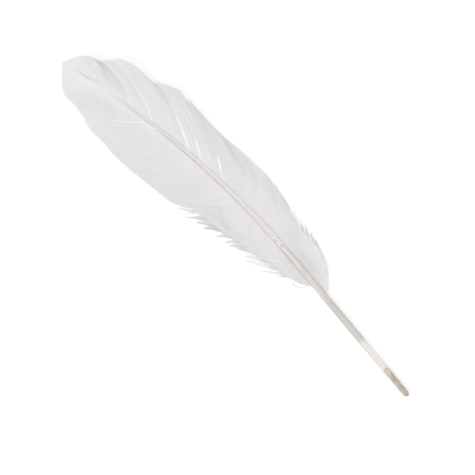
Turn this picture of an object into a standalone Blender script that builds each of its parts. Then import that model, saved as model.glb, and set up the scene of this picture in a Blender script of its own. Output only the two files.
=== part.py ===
"""A natural goose quill: horn barrel with its dried pulp, grooved rachis, and a split vane.

The feather lies on its outer face with the grooved side of the shaft up.  X runs from the quill's
tip to the tip of the vane, Y across the vane with the broad side positive, and Z up from the table.
Every web of barbs turns on a line along its roots.
"""
import math

import bmesh
import bpy
from mathutils import Matrix, Vector

MM = 0.001
NAME = "quill_pen"

# Shaft in plan: straight from the quill's tip, then bending evenly towards the broad side.
TIP_X = -0.14404
TIP_Y = 0.012875
HEADING = math.radians(-7.0)
STRAIGHT = 108 * MM
BEND_RADIUS = 540 * MM
SHAFT_END = 273 * MM

# Barrel of the quill.
BARREL_END = 118 * MM
BARREL_RADIUS = 2.25 * MM
BARREL_WALL = 0.4 * MM
BARREL_SIDES = 24
NOSE_LENGTH = 3 * MM
NOSE_RADIUS = 2.0 * MM
NOSE_HOLE = 0.45 * MM
AXIS_HEIGHT = BARREL_RADIUS * math.cos(math.pi / BARREL_SIDES)

# Dried pulp inside the barrel.
PLUG_START = 2.0 * MM
PLUG_END = 21.5 * MM
CAP_COUNT = 8
CAP_FIRST = 44.5 * MM
CAP_PITCH = 8.2 * MM
CAP_LENGTH = 7.8 * MM
CAP_RADIUS = 1.55 * MM
CAP_SKIN = 0.25 * MM
UMBILICUS_START = 110.6 * MM
UMBILICUS_END = 117.2 * MM
UMBILICUS_RADIUS = 1.4 * MM

# Rachis: half widths in mm at distances in mm from the quill's tip.
RACHIS_START = 118.4 * MM
RACHIS_HALF = ((118, 2.0), (140, 1.85), (160, 1.65), (180, 1.5), (200, 1.25), (220, 1.0),
               (240, 0.75), (255, 0.55), (268, 0.36), (273, 0.22))
RACHIS_SECTION = ((0.28, 1.05), (0.66, 1.0), (0.92, 0.66), (1.0, 0.1), (0.94, -0.5),
                  (0.68, -0.95), (0.25, -1.1))
GROOVE_DEPTH = 0.62
PITH_START = 119.0 * MM
PITH_END = 226 * MM
CAVITY_END = 228 * MM
LIFT_START = 165 * MM
LIFT_RUN = 110 * MM
LIFT_HEIGHT = 12 * MM

# Webs: sheet, gaps and cross camber.
WEB_THICK = 0.42 * MM
WEB_ROOT_GAP = 0.35 * MM
WEB_SPLIT_GAP = 0.45 * MM
WEB_TIP_STEP = 0.6 * MM
WEB_ROOT_RISE = 0.8
CAMBER_LOW = 9 * MM
CAMBER_DIP = 1.0 * MM
TWIST_LIFT = 0.7 * MM
TWIST_SPAN = 12 * MM
BARB_STEPS = 8
ROOT_STEP = 6 * MM

# Each side: where the webs part along the shaft, the vane's half width, how far a barb reaches
# forward of its root, and how strongly it curves, all in mm against distance from the quill's tip.
NARROW = {
    "name": "vane_narrow",
    "side": -1,
    "splits": (84, 104, 128, 150, 169, 180, 187, 198, 227, 241, 251, 259, 272),
    "width": ((80, 5), (88, 12.5), (98, 14.6), (110, 17), (122, 16.4), (134, 19.4), (158, 22.5),
              (194, 21.6), (212, 24.2), (224, 26), (236, 22.2), (248, 22), (254, 22), (260, 20.2),
              (266, 16.5), (272, 12.4), (278, 12), (284, 8), (290, 0.4)),
    "reach": ((84, 10), (90, 20), (104, 34), (128, 44), (150, 47), (169, 47), (187, 44), (198, 43),
              (227, 35), (241, 31), (251, 24), (259, 21), (266, 20), (272, 18)),
    "curve": ((84, 1.5), (170, 1.45), (198, 1.8), (240, 1.75), (255, 1.35), (272, 1.2)),
}
WIDE = {
    "name": "vane_wide",
    "side": 1,
    "splits": (86, 104, 130, 160, 190, 220, 246, 272),
    "width": ((84, 3), (92, 8.2), (98, 10.5), (104, 13), (110, 15), (118, 19.5), (134, 21.5),
              (152, 24.2), (170, 27.8), (190, 29.8), (212, 30.4), (230, 29.6), (242, 27.2),
              (254, 25.2), (262, 21.4), (268, 18.8), (278, 16.2), (284, 11), (290, 0.4)),
    "reach": ((86, 8), (90, 16), (95, 25), (104, 34), (120, 36), (140, 40), (160, 44), (180, 46),
              (200, 44), (221, 39), (235, 31), (246, 26), (256, 22), (264, 19), (272, 18)),
    "curve": ((86, 1.3), (120, 1.4), (200, 1.5), (250, 1.4), (272, 1.2)),
}


def clear_scene():
    for old in list(bpy.data.objects):
        bpy.data.objects.remove(old, do_unlink=True)


def new_collection(name):
    found = bpy.data.collections.new(name)
    bpy.context.scene.collection.children.link(found)
    return found


def material(name, colour, roughness, transmission=0.0):
    made = bpy.data.materials.new(name)
    made.use_nodes = True
    shader = made.node_tree.nodes["Principled BSDF"]
    shader.inputs["Base Color"].default_value = (*colour, 1.0)
    shader.inputs["Roughness"].default_value = roughness
    shader.inputs["Transmission Weight"].default_value = transmission
    made.diffuse_color = (*colour, 1.0)
    return made


def smooth_value(stations, at):
    """Smooth curve through (distance, value) stations, level past both ends."""
    if at <= stations[0][0]:
        return stations[0][1]
    if at >= stations[-1][0]:
        return stations[-1][1]
    i = max(k for k in range(len(stations) - 1) if stations[k][0] <= at)
    (x0, y0), (x1, y1) = stations[i], stations[i + 1]
    before = stations[max(i - 1, 0)]
    after = stations[min(i + 2, len(stations) - 1)]
    run = x1 - x0
    start = (y1 - before[1]) / (x1 - before[0]) * run
    end = (after[1] - y0) / (after[0] - x0) * run
    t = (at - x0) / run
    return (y0 * (1 + 2 * t) * (1 - t) ** 2 + y1 * (3 - 2 * t) * t * t
            + start * t * (1 - t) ** 2 - end * t * t * (1 - t))


def in_mm(stations, at):
    return smooth_value(stations, at / MM) * MM


def heading(s):
    return HEADING + max(0.0, s - STRAIGHT) / BEND_RADIUS


def plan_point(s):
    """Shaft's centre line in plan at a distance along it from the quill's tip."""
    run = min(s, STRAIGHT)
    x = TIP_X + run * math.cos(HEADING)
    y = TIP_Y + run * math.sin(HEADING)
    turn = heading(s)
    x += BEND_RADIUS * (math.sin(turn) - math.sin(HEADING))
    y += BEND_RADIUS * (math.cos(HEADING) - math.cos(turn))
    return x, y


def table_lift(s):
    """Height of the shaft's underside over the table: the far half of the feather rises."""
    return LIFT_HEIGHT * (max(0.0, s - LIFT_START) / LIFT_RUN) ** 2


def beside(s, off, z):
    """Point at a distance along the shaft, offset square to it in plan."""
    x, y = plan_point(s)
    turn = heading(s)
    return Vector((x - off * math.sin(turn), y + off * math.cos(turn), z))


def half_width(s):
    if s < BARREL_END:
        return BARREL_RADIUS
    return in_mm(RACHIS_HALF, s)


def shaft_centre(s):
    half = half_width(s)
    level = table_lift(s) + 1.115 * half
    blend = min(1.0, max(0.0, (s - BARREL_END) / (20 * MM)))
    return beside(s, 0.0, AXIS_HEIGHT * (1 - blend) + level * blend)


def mesh_object(name, mesh, group, look, origin=None):
    made = bpy.data.objects.new(name, mesh)
    group.objects.link(made)
    made.data.materials.append(look)
    if origin is not None:
        made.matrix_world = origin
    for face in mesh.polygons:
        face.use_smooth = True
    return made


def barrel_frame(s):
    """Matrix with local X along the barrel and a flat facet of the turned shapes facing down."""
    x, y = plan_point(s)
    facet = Matrix.Rotation(math.pi / BARREL_SIDES, 4, "X")
    return Matrix.Translation((x, y, AXIS_HEIGHT)) @ Matrix.Rotation(HEADING, 4, "Z") @ facet


def turned(name, profile, group, look, start, closed, sides=BARREL_SIDES):
    """Solid of revolution from (distance, radius) points, its outside running up the barrel."""
    mesh = bpy.data.meshes.new(name)
    points = [(x, 0.0, r) for x, r in reversed(profile)]
    edges = [(i, i + 1) for i in range(len(points) - 1)]
    if closed:
        edges.append((len(points) - 1, 0))
    mesh.from_pydata(points, edges, [])
    made = mesh_object(name, mesh, group, look, barrel_frame(start))
    spin = made.modifiers.new("turn", "SCREW")
    spin.axis = "X"
    spin.steps = sides
    spin.render_steps = sides
    spin.use_merge_vertices = True
    spin.merge_threshold = 0.00001
    spin.use_smooth_shade = True
    return made


def nose(radius, length, hole, steps, shift):
    """Points of a rounded nose from the small end hole out to full radius."""
    low = math.asin(hole / radius)
    angles = [low + (math.pi / 2 - low) * i / steps for i in range(steps + 1)]
    return [(shift + length * (1 - math.cos(a)), radius * math.sin(a)) for a in angles]


def build_barrel(group, look):
    outer = nose(NOSE_RADIUS, NOSE_LENGTH, NOSE_HOLE, 5, 0.0)
    outer += [(12 * MM, 2.15 * MM), (25 * MM, BARREL_RADIUS), (85 * MM, BARREL_RADIUS),
              (BARREL_END, 2.05 * MM)]
    inner = nose(NOSE_RADIUS - BARREL_WALL, NOSE_LENGTH - BARREL_WALL, NOSE_HOLE, 4, BARREL_WALL)
    inner += [(12 * MM, 2.15 * MM - BARREL_WALL), (25 * MM, BARREL_RADIUS - BARREL_WALL),
              (85 * MM, BARREL_RADIUS - BARREL_WALL), (BARREL_END, 2.05 * MM - BARREL_WALL)]
    turned("calamus_barrel", outer + inner[::-1], group, look, 0.0, True)


def build_tip_plug(group, look):
    """Shrunken pulp left in the nose, with a lumpy outline and a hollowed top end."""
    outline = [(PLUG_START, 0.0), (PLUG_START + 0.1 * MM, 0.7 * MM), (3.0 * MM, 1.25 * MM),
               (5.5 * MM, 1.45 * MM), (8.0 * MM, 1.3 * MM), (10.5 * MM, 1.55 * MM),
               (13.5 * MM, 1.35 * MM), (16.5 * MM, 1.6 * MM), (19.0 * MM, 1.45 * MM),
               (PLUG_END, 1.5 * MM), (PLUG_END - 1.2 * MM, 0.8 * MM), (PLUG_END - 1.6 * MM, 0.0)]
    turned("tip_pulp_plug", outline, group, look, 0.0, False, 16)


def build_pulp_cap(index, group, look):
    """One thin dried cup of the row nested up the barrel, dome towards the vane."""
    radius = CAP_RADIUS - 0.012 * index * MM
    wall = CAP_LENGTH - 1.8 * MM
    profile = [(CAP_LENGTH - CAP_SKIN, 0.0), (wall + 1.3 * MM, radius * 0.3),
               (wall + 0.7 * MM, radius * 0.64), (wall - 0.2 * MM, radius * 0.97 - CAP_SKIN),
               (0.0, radius - CAP_SKIN), (0.0, radius), (wall, radius * 0.97),
               (wall + 1.0 * MM, radius * 0.8), (wall + 1.6 * MM, radius * 0.42), (CAP_LENGTH, 0.0)]
    turned(f"pulp_cap_{index}", profile, group, look,
           CAP_FIRST + CAP_PITCH * (index - 1), False, 16)


def build_umbilicus(group, look):
    """Amber button that stops the barrel where the rachis begins."""
    length = UMBILICUS_END - UMBILICUS_START
    outline = [(0.0, 0.0)]
    for i in range(1, 8):
        turn = math.pi * i / 8
        outline.append((length * (1 - math.cos(turn)) / 2, UMBILICUS_RADIUS * math.sin(turn) ** 0.7))
    outline.append((length, 0.0))
    turned("umbilicus_plug", outline, group, look, UMBILICUS_START, False, 16)


def section_curve(name, points, group):
    data = bpy.data.curves.new(name, "CURVE")
    data.dimensions = "2D"
    line = data.splines.new("POLY")
    line.points.add(len(points) - 1)
    for slot, (y, z) in zip(line.points, points):
        slot.co = (y, z, 0.0, 1.0)
    line.use_cyclic_u = True
    made = bpy.data.objects.new(name, data)
    made.hide_render = True
    made.display_type = "WIRE"
    group.objects.link(made)
    return made


def swept(name, section, start, end, steps, group):
    """Mesh of a section swept along the shaft and scaled to its half width."""
    data = bpy.data.curves.new(name, "CURVE")
    data.dimensions = "3D"
    data.twist_mode = "Z_UP"
    data.bevel_mode = "OBJECT"
    data.bevel_object = section
    data.use_fill_caps = True
    line = data.splines.new("POLY")
    line.points.add(steps)
    for i, slot in enumerate(line.points):
        s = start + (end - start) * i / steps
        slot.co = (*shaft_centre(s), 1.0)
        slot.radius = half_width(s)
    path = bpy.data.objects.new(name + "_path", data)
    group.objects.link(path)
    bpy.context.view_layer.update()
    seen = path.evaluated_get(bpy.context.evaluated_depsgraph_get())
    mesh = bpy.data.meshes.new_from_object(seen)
    mesh.name = name
    bpy.data.objects.remove(path, do_unlink=True)
    return mesh


def tidy_mesh(mesh):
    """Join the caps to the swept skin and turn every face outward."""
    graph = bmesh.new()
    graph.from_mesh(mesh)
    bmesh.ops.remove_doubles(graph, verts=graph.verts, dist=0.000002)
    bmesh.ops.recalc_face_normals(graph, faces=graph.faces)
    graph.to_mesh(mesh)
    graph.free()
    return mesh


def oval(width, height, middle, sides):
    turns = [math.tau * i / sides for i in range(sides)]
    return [(width * math.cos(a), middle + height * math.sin(a)) for a in turns]


def build_rachis(group, cutters, cortex_look, pith_look):
    left = [(-y, z) for y, z in reversed(RACHIS_SECTION)]
    outline = section_curve("rachis_section", [(0.0, GROOVE_DEPTH), *RACHIS_SECTION, *left], cutters)
    hollow = section_curve("cavity_section", oval(0.66, 0.58, -0.22, 12), cutters)
    core = section_curve("pith_section", oval(0.58, 0.5, -0.22, 12), cutters)
    cortex = mesh_object("rachis_cortex", tidy_mesh(swept("rachis_cortex", outline, RACHIS_START,
                                                          SHAFT_END, 26, group)), group, cortex_look)
    cutter = mesh_object("rachis_cavity", tidy_mesh(swept("rachis_cavity", hollow,
                                                          RACHIS_START - MM, CAVITY_END, 18, group)),
                         cutters, cortex_look)
    cutter.hide_render = True
    cutter.display_type = "WIRE"
    cut = cortex.modifiers.new("hollow", "BOOLEAN")
    cut.operation = "DIFFERENCE"
    cut.solver = "EXACT"
    cut.object = cutter
    mesh_object("rachis_pith", tidy_mesh(swept("rachis_pith", core, PITH_START, PITH_END, 18, group)),
                group, pith_look)


def camber(off):
    """Height of a web's sheet against distance out from its root: a dip, then a rising edge."""
    return CAMBER_DIP * ((off / CAMBER_LOW - 1) ** 2 - 1)


def web_point(side, root, part, across):
    """Point on a web: root position, share of the barb's length, share across the web."""
    reach = in_mm(side["reach"], root)
    bend = smooth_value(side["curve"], root / MM)
    inner = half_width(root) + WEB_ROOT_GAP
    outer = in_mm(side["width"], root + reach) - WEB_TIP_STEP * (1 - across) ** 2
    s = root + reach * part
    off = inner + (max(outer, inner) - inner) * (bend * part - (bend - 1) * part * part)
    if root > 266 * MM:
        fade = (root - 266 * MM) / (6 * MM)
        narrow = max(0.3 * MM, inner * (1 - part))
        off = off * (1 - fade) + (narrow + (outer - narrow) * part) * fade
    twist = (max(0.0, off - CAMBER_LOW) / TWIST_SPAN) ** 1.5 * TWIST_LIFT * (2 * across - 1)
    z = table_lift(s) + WEB_ROOT_RISE * half_width(root) + camber(off - inner) + twist
    return beside(s, side["side"] * off, z)


def web_hinge(side, low, high):
    """Middle of a web's root line, on which it turns."""
    first = web_point(side, low, 0.0, 0.0)
    last = web_point(side, high, 0.0, 1.0)
    return (first + last) / 2


def build_web(side, index, low, high, group, look):
    low += WEB_SPLIT_GAP
    high -= WEB_SPLIT_GAP
    pivot = web_hinge(side, low, high)
    across_steps = max(2, round((high - low) / ROOT_STEP))
    graph = bmesh.new()
    rows = []
    for i in range(across_steps + 1):
        across = i / across_steps
        root = low + (high - low) * across
        rows.append([graph.verts.new(web_point(side, root, k / BARB_STEPS, across) - pivot)
                     for k in range(BARB_STEPS + 1)])
    for near, far in zip(rows, rows[1:]):
        for k in range(BARB_STEPS):
            graph.faces.new((near[k], far[k], far[k + 1], near[k + 1]))
    bmesh.ops.recalc_face_normals(graph, faces=graph.faces)
    name = f"{side['name']}_{index:02d}"
    mesh = bpy.data.meshes.new(name)
    graph.to_mesh(mesh)
    graph.free()
    made = mesh_object(name, mesh, group, look, Matrix.Translation(pivot))
    sheet = made.modifiers.new("sheet", "SOLIDIFY")
    sheet.thickness = WEB_THICK
    sheet.offset = 0.0


def build_vane(side, group, colour):
    splits = [s * MM for s in side["splits"]]
    for index, (low, high) in enumerate(zip(splits, splits[1:]), 1):
        look = material(f"{side['name']}_{index:02d}_barbs", colour, 0.65)
        build_web(side, index, low, high, group, look)


def build():
    clear_scene()
    group = new_collection(NAME)
    cutters = new_collection(NAME + "_cutters")
    build_barrel(group, material("calamus_horn", (0.88, 0.85, 0.78), 0.22, 0.6))
    build_tip_plug(group, material("tip_pulp", (0.42, 0.33, 0.2), 0.7))
    for index in range(1, CAP_COUNT + 1):
        tint = (0.72 - 0.02 * index, 0.66 - 0.03 * index, 0.56 - 0.035 * index)
        build_pulp_cap(index, group, material(f"pulp_cap_{index}_skin", tint, 0.5))
    build_umbilicus(group, material("umbilicus_amber", (0.45, 0.28, 0.09), 0.35))
    build_rachis(group, cutters, material("rachis_horn", (0.8, 0.74, 0.6), 0.35),
                 material("rachis_foam", (0.9, 0.88, 0.82), 0.85))
    build_vane(NARROW, group, (0.82, 0.81, 0.83))
    build_vane(WIDE, group, (0.84, 0.83, 0.84))


build()
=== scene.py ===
import math

import bpy
import numpy as np
from mathutils import Matrix, Vector


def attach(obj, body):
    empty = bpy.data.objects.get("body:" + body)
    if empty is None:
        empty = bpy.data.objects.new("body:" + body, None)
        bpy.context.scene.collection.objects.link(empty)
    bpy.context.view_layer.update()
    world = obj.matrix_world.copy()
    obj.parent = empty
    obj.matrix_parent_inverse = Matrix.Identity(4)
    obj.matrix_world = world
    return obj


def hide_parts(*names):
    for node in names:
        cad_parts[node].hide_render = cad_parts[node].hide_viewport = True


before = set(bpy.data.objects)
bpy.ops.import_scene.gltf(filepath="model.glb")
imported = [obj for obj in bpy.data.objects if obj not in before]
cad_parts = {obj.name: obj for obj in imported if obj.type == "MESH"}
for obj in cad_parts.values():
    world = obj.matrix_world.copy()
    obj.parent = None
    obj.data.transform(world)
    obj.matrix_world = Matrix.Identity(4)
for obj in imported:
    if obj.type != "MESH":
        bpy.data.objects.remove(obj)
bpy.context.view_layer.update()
MM = 0.001
RANDOM = np.random.default_rng(41)
UPWARD = np.array([0.0, 0.0, 1.0])

# ---------------------------------------------------------------- the shaft's line, in millimetres
# Distances "s" run along the shaft from the quill's tip.
TIP = (-144.04, 12.875)
HEADING = math.radians(-7.0)
STRAIGHT = 108.0  # the run before the shaft starts to bend
BEND_RADIUS = 540.0
BARREL_END = 118.0
BARREL_RADIUS = 2.25
AXIS_HEIGHT = BARREL_RADIUS * math.cos(math.pi / 24)
LIFT_START, LIFT_RUN, LIFT_HEIGHT = 165.0, 110.0, 12.0
RACHIS_START, RACHIS_END = 117.6, 274.0
RACHIS_JOIN = 20.0  # the run over which the rachis leaves the height of the barrel's axis
RACHIS_STAND = 1.115  # height of its middle over the lifted line, in half widths
RACHIS_HALF = ((118, 1.8), (140, 1.52), (160, 1.32), (180, 1.16), (200, 1.0), (220, 0.84),
               (240, 0.64), (255, 0.48), (268, 0.32), (273, 0.2))

# ---------------------------------------------------------------- the two sides of the vane
# All in millimetres. "Root" is how far up the shaft a barb starts, "off" how far from the
# shaft's middle a place on it is.
# name: of its pieces; node: of its CAD webs; side: +1 where y grows, -1 on the other
# twist: how far the edges of a web turn up and down, well away from the shaft
# splits: the roots where one web ends and the next begins
# width: half width of the vane by distance along the shaft; reach: how far up a barb runs, by root
# curve: how much a barb bows, by root; ends: where the closed vane stops, by root
# loose: the share of barbs that run on past that as free hairs, by root
# locks: (first root, last root, s and off of the tip) of hairs that hang together
# strays: (number of the web, radius, tone, places (s, off)) of single loose hairs
# slits: (split, from off, to off, opening, shift of its far end up the shaft, overlap past it)
# holes: (root, from off, to off, opening)
# fold lines: (root and off of the near end, root and off of the far end, width on the lower side,
#         width on the upper side, change of tone: painted shade below 0, painted light above 0)
NARROW = {
    "name": "barbs_narrow", "node": "vane_narrow", "side": -1, "seed": 11, "twist": 0.4,
    "splits": (77.6, 103, 128, 148, 169.8, 179.3, 187.6, 197.7, 225.7, 240.3, 251.8, 259.3, 272.6),
    "width": ((98, 15), (106, 15.6), (112, 17), (122, 17.4), (134, 19.4), (158, 22.5),
              (194, 21.6), (212, 24.2), (224, 26), (236, 22.2), (248, 22), (254, 22), (260, 20.2),
              (266, 16.5), (272, 12.4), (278, 12), (284, 8), (290, 0.4)),
    "reach": ((77, 27), (84, 29), (90, 30), (104, 35), (128, 44), (150, 47), (169, 47), (187, 44),
              (198, 43), (227, 35), (241, 31), (251, 24), (259, 21), (266, 20), (272, 18)),
    "curve": ((77, 2.42), (84, 2.2), (90, 2.1), (104, 1.7), (128, 1.55), (170, 1.45), (198, 1.8),
              (240, 1.75), (255, 1.35), (272, 1.2)),
    "ends": ((77, 15.5), (88, 16.4), (94, 16.2), (102.6, 15.9), (103, 20), (110, 21.2), (114, 22),
             (121, 22.4), (124, 22), (131, 22), (140, 21), (150.5, 20.9), (151.5, 21.8),
             (160, 23.6), (168, 24.3), (176.4, 24.2), (181, 25.4), (185, 24.8), (190, 22.2),
             (193, 21.6), (197.6, 20.9), (200, 20.9), (207, 20.3), (213, 20.9), (220, 23),
             (228, 30), (272, 30)),
    "loose": ((77, 0.1), (90, 0.3), (102.5, 0.25), (103.5, 0.05), (125, 0.0)),
    "locks": ((82, 85.5, 108, 17.8), (86, 88.4, 113, 18.6), (89.5, 92, 118, 18.4),
              (95, 98, 123.5, 18.2)),
    "strays": ((2, 0.08, 0.66, (123.4, 6.4), (119.1, 9.9), (115.4, 11.5)),
               (2, 0.08, 0.66, (122.1, 6.4), (117.1, 6.7), (113.3, 5.8)),
               (2, 0.08, 0.66, (117.5, 11.8), (115.9, 7.3), (113.9, 3.4)),
               (2, 0.08, 0.68, (116.9, 15.3), (113.2, 10.4), (109.5, 5.6))),
    "slits": ((103, 3, 5, 0.05, 0, 0.6), (128, 8, 13, 0.12, -2, 0.6), (148, 4.5, 9.5, 0.25, -3, 1),
              (169.8, 3, 10.2, 1.4, -0.6, 3), (179.3, 2.2, 11, 0.55, 0.5, 1.5),
              (187.6, 1.8, 9.8, 1.7, 0.8, 1.5), (197.7, 1.8, 12.8, 2.3, 2.9, 3),
              (225.7, 1.8, 8.2, 1.2, 2.9, 1.5), (240.3, 1.0, 4.3, 1.1, -0.5, 2.5),
              (251.8, 0.8, 3.2, 0.45, -0.2, 2), (259.3, 0.8, 5.0, 0.3, -0.3, 1)),
    "holes": ((189.2, 13.2, 15.0, 1.1), (192.0, 16.2, 17.2, 1.1), (194.2, 15.7, 16.6, 1.0),
              (197.2, 15.4, 16.4, 1.4), (199.2, 15.0, 16.2, 1.3), (201.6, 13.4, 15.0, 1.6),
              (230.2, 13.0, 14.4, 0.6), (227.2, 8.6, 9.5, 0.5), (234.6, 8.9, 9.9, 0.6),
              (262.2, 3.0, 4.2, 1.2), (264.4, 2.4, 3.3, 1.1), (213.4, 7.6, 8.3, 0.4),
              (143.6, 9.6, 10.8, 0.4), (80.2, 3.5, 8.5, 0.6), (82.6, 10.0, 13.0, 0.9),
              (86.4, 13.6, 15.4, 1.0), (91.0, 14.8, 16.1, 0.9), (100.4, 3.4, 4.6, 0.5),
              (98.8, 4.4, 5.6, 0.4)),
    # fold lines: a change below 0 is painted shade, above 0 painted light
    "folds_painted_shade": ((98, 2.2, 94, 7.5, 13, 12, -0.10), (240.2, 3.5, 238.8, 12.5, 0.3, 16, -0.06),
              (251.6, 2.5, 251.6, 7.6, 0.3, 4, -0.05), (228.8, 6.5, 232, 14, 0.5, 0.8, -0.10),
              (189.6, 6.5, 190.8, 15, 0.4, 0.7, -0.10), (200.9, 6, 202, 12, 0.3, 2, -0.06),
              (208, 15.5, 213, 21, 7, 7, -0.02), (202, 13.5, 206, 17.5, 3, 3, -0.03),
              (169.8, 9.5, 170.5, 25, 0.4, 12, -0.035), (171.5, 9.5, 178.5, 13.5, 0.8, 0.8, -0.07),
              (182.2, 16, 181.8, 24.5, 3.5, 0.35, -0.05), (201.3, 15.3, 212.4, 17.3, 1.5, 1.5, -0.05),
              (181.5, 13, 186, 21.5, 0.8, 1.2, 0.05), (144.8, 14, 151.8, 21.5, 6, 0.35, -0.075),
              (250.2, 6.5, 247.7, 11.8, 0.4, 2, -0.05), (132.4, 14.5, 135.3, 20.5, 3, 0.35, -0.07),
              (121, 13, 118, 19.5, 3, 3, -0.05), (133.5, 7.5, 128, 20, 1.2, 1.5, 0.05),
              (147.6, 4, 144, 10, 0.5, 0.5, 0.05), (182.6, 1.6, 182.8, 9.5, 0.5, 0.5, 0.04),
              (205, 1.5, 212, 9.5, 14, 16, 0.015), (140, 1.5, 132, 10, 18, 16, 0.02),
              (232, 5, 235, 19, 6, 4, -0.05), (168, 14, 168, 26, 12, 12, 0.06),
              (193, 15, 193, 24, 5, 5, 0.05), (262, 1, 262, 16, 6, 12, -0.02),
              (92, 11, 90, 17, 14, 12, 0.04)),
}
WIDE = {
    "name": "barbs_wide", "node": "vane_wide", "side": 1, "seed": 3, "twist": 0.08,
    "splits": (87.6, 103.3, 130, 160, 190, 220.5, 246, 272.6),
    "width": ((84, 3), (92, 8.2), (98, 10.5), (104, 13), (110, 15), (118, 19.5), (134, 21.5),
              (152, 24.2), (170, 27.8), (190, 29.8), (212, 30.4), (230, 29.6), (242, 27.2),
              (254, 25.2), (262, 21.4), (268, 18.8), (278, 16.2), (284, 11), (290, 0.4)),
    "reach": ((86, 8), (90, 16), (95, 25), (104, 34), (120, 36), (140, 40), (160, 44), (180, 46),
              (200, 44), (221, 39), (235, 31), (246, 26), (256, 22), (264, 19), (272, 18)),
    "curve": ((86, 1.3), (120, 1.4), (200, 1.5), (250, 1.4), (272, 1.2)),
    "ends": ((87, 3), (88.5, 7), (91, 9.8), (97, 12.4), (103.2, 15.0), (103.5, 19.6), (107, 19.8),
             (110, 16.8), (113, 17.8), (117, 19.2), (121, 21.8), (127, 22.6), (135, 22.9),
             (143.1, 24.4), (143.6, 27.8), (147, 29), (150, 40), (272, 40)),
    "loose": ((87, 0.4), (92, 0.55), (97, 0.6), (98, 0.3), (103, 0.3), (104, 1.2), (107, 0.9),
              (109, 0.45), (114, 0.45), (116, 0.2), (119, 0.65), (127, 0.65), (130, 0.3),
              (135, 0.45), (138, 0.2), (143, 0.25), (144, 0.0)),
    "locks": ((92.5, 95.5, 118.2, 23.4), (96, 98.8, 126.4, 23.3), (99, 102.8, 129.2, 21.9),
              (108.5, 111.5, 140.6, 25.0), (112, 115, 144.2, 25.3), (116.2, 119.3, 149.5, 25.5),
              (121, 124.8, 158, 26.7), (126.2, 130, 165.1, 28.3), (131.6, 134.2, 172.8, 30.9),
              (134.6, 136.6, 169.5, 29.3), (138.5, 142.2, 180.5, 30.0)),
    "strays": ((3, 0.1, 0.55, (140.4, 2.9), (139.0, 6.7), (136.7, 9.6), (133.2, 12.0), (130.5, 13.6)),
               (2, 0.13, 0.4, (106.4, 0.3), (106.8, 2.4), (107.3, 6.1)),
               (1, 0.26, 0.45, (96.7, 9.0), (94.9, 9.7), (92.9, 9.1), (90.4, 6.4), (88.6, 2.4)),
               (2, 0.09, 0.62, (132.1, 2.2), (128.8, 3.7), (125.1, 4.6), (119.4, 6.8)),
               (6, 0.09, 0.58, (246.8, 15.4), (246.0, 12.3), (245.9, 9.3), (246.9, 6.3))),
    "slits": ((103.3, 3, 8, 0.02, 0, 0.5), (130, 3, 8, 0.05, 0, 0.2), (160, 3, 8, 0.05, 0, 0.2),
              (190, 3, 8, 0.05, 0, 0.2), (220.5, 0.9, 3.4, 1.2, 0.5, 0.4), (246, 2, 8, 0.05, 0, 0.2)),
    "holes": ((226.0, 1.6, 4.9, 1.6), (223.0, 3.4, 4.8, 1.0), (225.4, 5.4, 6.8, 1.2),
              (227.0, 6.6, 10.0, 1.9), (227.7, 10.6, 12.4, 1.2), (215.0, 16.3, 18.2, 0.7),
              (216.4, 18.2, 19.4, 0.6), (208.6, 21.0, 22.0, 0.7), (204.2, 22.6, 23.4, 0.5),
              (181.6, 18.8, 20.0, 0.5), (188.8, 3.2, 4.6, 0.5), (163.7, 6.8, 8.4, 0.4),
              (235.2, 2.0, 3.0, 0.8), (240.5, 1.1, 2.0, 0.9), (244.4, 1.2, 2.0, 0.9)),
    # fold lines: a change below 0 is painted shade, above 0 painted light
    "folds_painted_shade": ((134, 15, 134, 18.8, 8, 13, -0.06), (149.5, 11.8, 136, 16, 2.5, 2.5, -0.08),
              (149.5, 4.5, 148, 28.5, 1.0, 1.0, -0.05), (161.8, 7.5, 161.3, 14.5, 0.8, 0.8, -0.04),
              (140.5, 15.5, 140, 21.5, 0.8, 0.8, -0.05), (142.3, 11.9, 119.4, 15.0, 3, 3, -0.06),
              (119.8, 14.4, 128.8, 16.9, 2, 2, -0.06), (137.2, 15.9, 117.6, 19.0, 2.5, 2.5, -0.05),
              (94, 2.2, 91, 7, 8, 16, -0.06),
              (251, 1, 246, 5.5, 14, 20, 0.03), (224.6, 4.8, 224.4, 6.2, 0.5, 0.5, -0.10),
              (150, 1.5, 140, 9, 40, 16, 0.015), (252, 5, 244, 20, 22, 30, -0.04)),
}

# ---------------------------------------------------------------- the barbs, in millimetres
BARB_PITCH = 0.55
FINE_START = 262.0  # the root past which barbs stand twice as close
BARB_RINGS = 28
BODY_RINGS = 18  # the rings of a free hair that stay inside the closed vane
ROOT_INSET = 0.86  # where barbs leave the shaft, in its half widths
THREAD = (240.0, 262.0)  # roots over which the rachis thins to a thread
TIP_START, TIP_RUN, TIP_TUCK = 266.0, 6.0, 0.55  # the straight barbs that close the vane's tip
RIDGE_HEIGHT, RIDGE_HALF, BLADE_LIFT, KEEL_DEPTH = 0.11, 0.06, 0.03, 0.12
BLADE_MOST = 0.9  # the widest that one blade of a barb gets
BLADE_TAPER = 0.955  # the share of a barb's length where its blades start to narrow
HAIR_HALF = 0.2
DOWN_COUNT, DOWN_RADIUS, DOWN_CLEAR = 60, 0.035, 0.15  # barbules on each free hair
STRAY_RINGS = 24
CAMBER_LOW, CAMBER_DIP = 9.0, 1.0  # how far out the vane is lowest, and how much lower it is
TWIST_SPAN = 12.0  # the run past there over which the twist comes to its full size
SWAY, RIPPLE = 0.35, 0.06  # unevenness of the barbs' lines and of the surface
WEB_STAND = 0.85  # height of the vane over the table line at the shaft, in half widths
ROOT_RISE, BARREL_RISE, ROOT_FADE = 0.7, 0.25, 3.0  # its rise at the roots, and the run of it
BASE_TONE, GRAIN_TONE = 0.92, 0.012
ROOT_PAINTED_LIGHT, ROOT_PAINTED_LIGHT_RUN = 0.05, 1.6  # painted light at the roots, lifting the shade beside the shaft as light through the thin vane would, and the run of it
FOLD_DEPTH = 2.2  # drop of the surface, in mm for each unit of a fold's painted shade
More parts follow.
